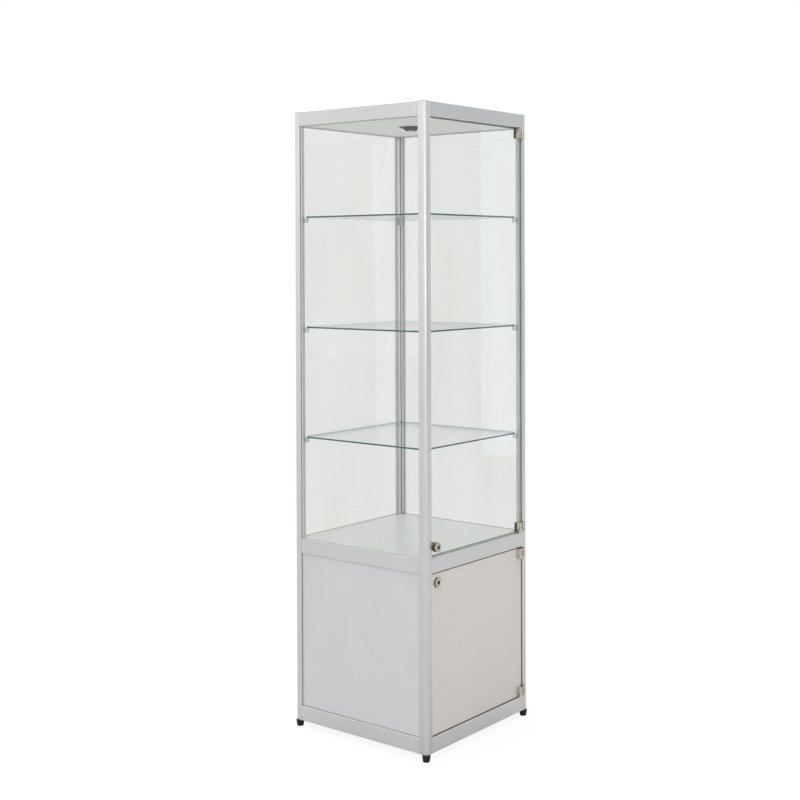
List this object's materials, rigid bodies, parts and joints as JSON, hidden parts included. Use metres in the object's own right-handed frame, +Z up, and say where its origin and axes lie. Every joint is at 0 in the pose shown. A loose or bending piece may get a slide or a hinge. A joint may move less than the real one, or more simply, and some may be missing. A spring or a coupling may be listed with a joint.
{
  "type": "pedestal display case",
  "caption": "Tall square glazed display case on a closed cupboard, with a hinged glass door, glass shelves, an aluminium frame and levelling feet.",
  "frame": {"origin": "on the floor, under the centre of the case's box", "axes": "+Z up, doors facing -Y, door hinges on the +X side"},
  "size_m": [0.5056, 0.5126, 1.84],
  "materials": {
    "aluminium": "satin anodised extrusion",
    "laminate_board": "pale grey melamine-faced board",
    "cupboard_panel": "silver-grey laminate sheet",
    "door_board": "warm white satin laminate",
    "glass": "clear toughened glass, polished green edges",
    "chrome": "polished nickel-chrome plate",
    "support_plastic": "clear plastic",
    "foot_plastic": "black moulded plastic",
    "light_housing": "dark slate satin paint"
  },
  "bodies": {
    "case": {"front_left_post": "aluminium", "front_right_post": "aluminium", "back_right_post": "aluminium", "back_left_post": "aluminium", "front_top_rail": "aluminium", "front_middle_rail": "aluminium", "front_bottom_rail": "aluminium", "right_top_rail": "aluminium", "right_middle_rail": "aluminium", "right_bottom_rail": "aluminium", "back_top_rail": "aluminium", "back_middle_rail": "aluminium", "back_bottom_rail": "aluminium", "left_top_rail": "aluminium", "left_middle_rail": "aluminium", "left_bottom_rail": "aluminium", "top_cover": "aluminium", "ceiling_panel": "laminate_board", "display_floor": "laminate_board", "cupboard_floor": "laminate_board", "right_glass_pane": "glass", "right_cupboard_panel": "cupboard_panel", "back_glass_pane": "glass", "back_cupboard_panel": "cupboard_panel", "left_glass_pane": "glass", "left_cupboard_panel": "cupboard_panel", "shelf_1": "glass", "shelf_1_support_front_left": "support_plastic", "shelf_1_support_front_right": "support_plastic", "shelf_1_support_back_right": "support_plastic", "shelf_1_support_back_left": "support_plastic", "shelf_2": "glass", "shelf_2_support_front_left": "support_plastic", "shelf_2_support_front_right": "support_plastic", "shelf_2_support_back_right": "support_plastic", "shelf_2_support_back_left": "support_plastic", "shelf_3": "glass", "shelf_3_support_front_left": "support_plastic", "shelf_3_support_front_right": "support_plastic", "shelf_3_support_back_right": "support_plastic", "shelf_3_support_back_left": "support_plastic", "glass_door_bottom_hinge_leaf": "chrome", "glass_door_top_hinge_leaf": "chrome", "cupboard_door_bottom_hinge_leaf": "chrome", "cupboard_door_top_hinge_leaf": "chrome", "ceiling_light": "light_housing"},
    "glass_door": {"glass_door": "glass", "glass_door_bottom_hinge_clamp": "chrome", "glass_door_top_hinge_clamp": "chrome", "glass_door_lock_housing": "chrome"},
    "glass_door_lock": {"glass_door_lock_plug": "chrome"},
    "cupboard_door": {"cupboard_door": "door_board", "cupboard_door_bottom_hinge_clamp": "chrome", "cupboard_door_top_hinge_clamp": "chrome", "cupboard_door_lock_housing": "chrome"},
    "cupboard_door_lock": {"cupboard_door_lock_plug": "chrome"},
    "front_left_foot": {"front_left_foot": "foot_plastic"},
    "front_right_foot": {"front_right_foot": "foot_plastic"},
    "back_right_foot": {"back_right_foot": "foot_plastic"},
    "back_left_foot": {"back_left_foot": "foot_plastic"}
  },
  "joints": [
    {"name": "glass_door_swing", "type": "hinge", "parent": "case", "child": "glass_door", "pos_m": [0.2235, -0.2546, 1.1825], "axis": [0, 0, 1], "range_deg": [0, 110]},
    {"name": "cupboard_door_swing", "type": "hinge", "parent": "case", "child": "cupboard_door", "pos_m": [0.2235, -0.2546, 0.294], "axis": [0, 0, 1], "range_deg": [0, 110]},
    {"name": "glass_door_lock_turn", "type": "hinge", "parent": "glass_door", "child": "glass_door_lock", "pos_m": [-0.2055, -0.247, 0.5955], "axis": [0, -1, 0], "range_deg": [0, 90]},
    {"name": "cupboard_door_lock_turn", "type": "hinge", "parent": "cupboard_door", "child": "cupboard_door_lock", "pos_m": [-0.198, -0.247, 0.4945], "axis": [0, 1, 0], "range_deg": [0, 90]},
    {"name": "front_left_foot_travel", "type": "slide", "parent": "case", "child": "front_left_foot", "axis": [0, 0, -1], "range_m": [0, 0.01]},
    {"name": "front_right_foot_travel", "type": "slide", "parent": "case", "child": "front_right_foot", "axis": [0, 0, -1], "range_m": [0, 0.01]},
    {"name": "back_right_foot_travel", "type": "slide", "parent": "case", "child": "back_right_foot", "axis": [0, 0, -1], "range_m": [0, 0.01]},
    {"name": "back_left_foot_travel", "type": "slide", "parent": "case", "child": "back_left_foot", "axis": [0, 0, -1], "range_m": [0, 0.01]}
  ]
}
